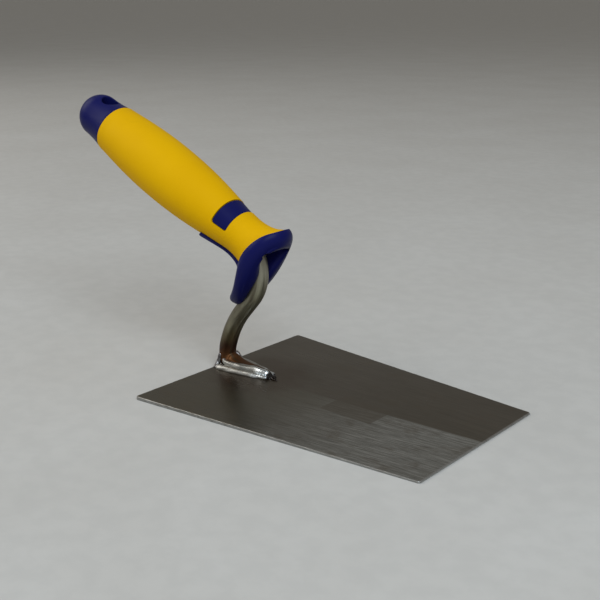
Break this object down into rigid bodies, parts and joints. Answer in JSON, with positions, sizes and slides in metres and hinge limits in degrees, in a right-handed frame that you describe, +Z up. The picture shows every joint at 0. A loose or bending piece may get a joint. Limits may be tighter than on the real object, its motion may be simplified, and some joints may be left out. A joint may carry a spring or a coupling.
{
  "type": "brick trowel",
  "caption": "Trapezoid-blade brick trowel: flat steel blade, welded swan-neck round shank and a two-colour moulded grip with a finger guard and a hang hole.",
  "frame": {"origin": "middle of the blade's underside, on the surface that the trowel rests on", "axes": "+X from the blade's heel to its toe, +Z up out of the blade's top face, +Y across the blade"},
  "size_m": [0.2641, 0.1256, 0.1401],
  "materials": {
    "blade_steel": "brushed lengthwise, dark, with scratches",
    "shank_steel": "raw bar with a heat tint near the weld",
    "weld_metal": "bright rippled weld metal",
    "core_plastic": "moulded",
    "grip_yellow": "matte soft-touch",
    "grip_navy": "satin to semi-gloss"
  },
  "bodies": {
    "root": {"blade": "blade_steel", "shank": "shank_steel", "weld_near_lower": "weld_metal", "weld_near_upper": "weld_metal", "weld_far_lower": "weld_metal", "weld_far_upper": "weld_metal", "weld_heel": "weld_metal", "weld_toe": "weld_metal", "handle_core": "core_plastic", "grip_sleeve": "grip_yellow", "finger_guard": "grip_navy", "window_inlay": "grip_navy", "butt_cap": "grip_navy"}
  },
  "joints": []
}
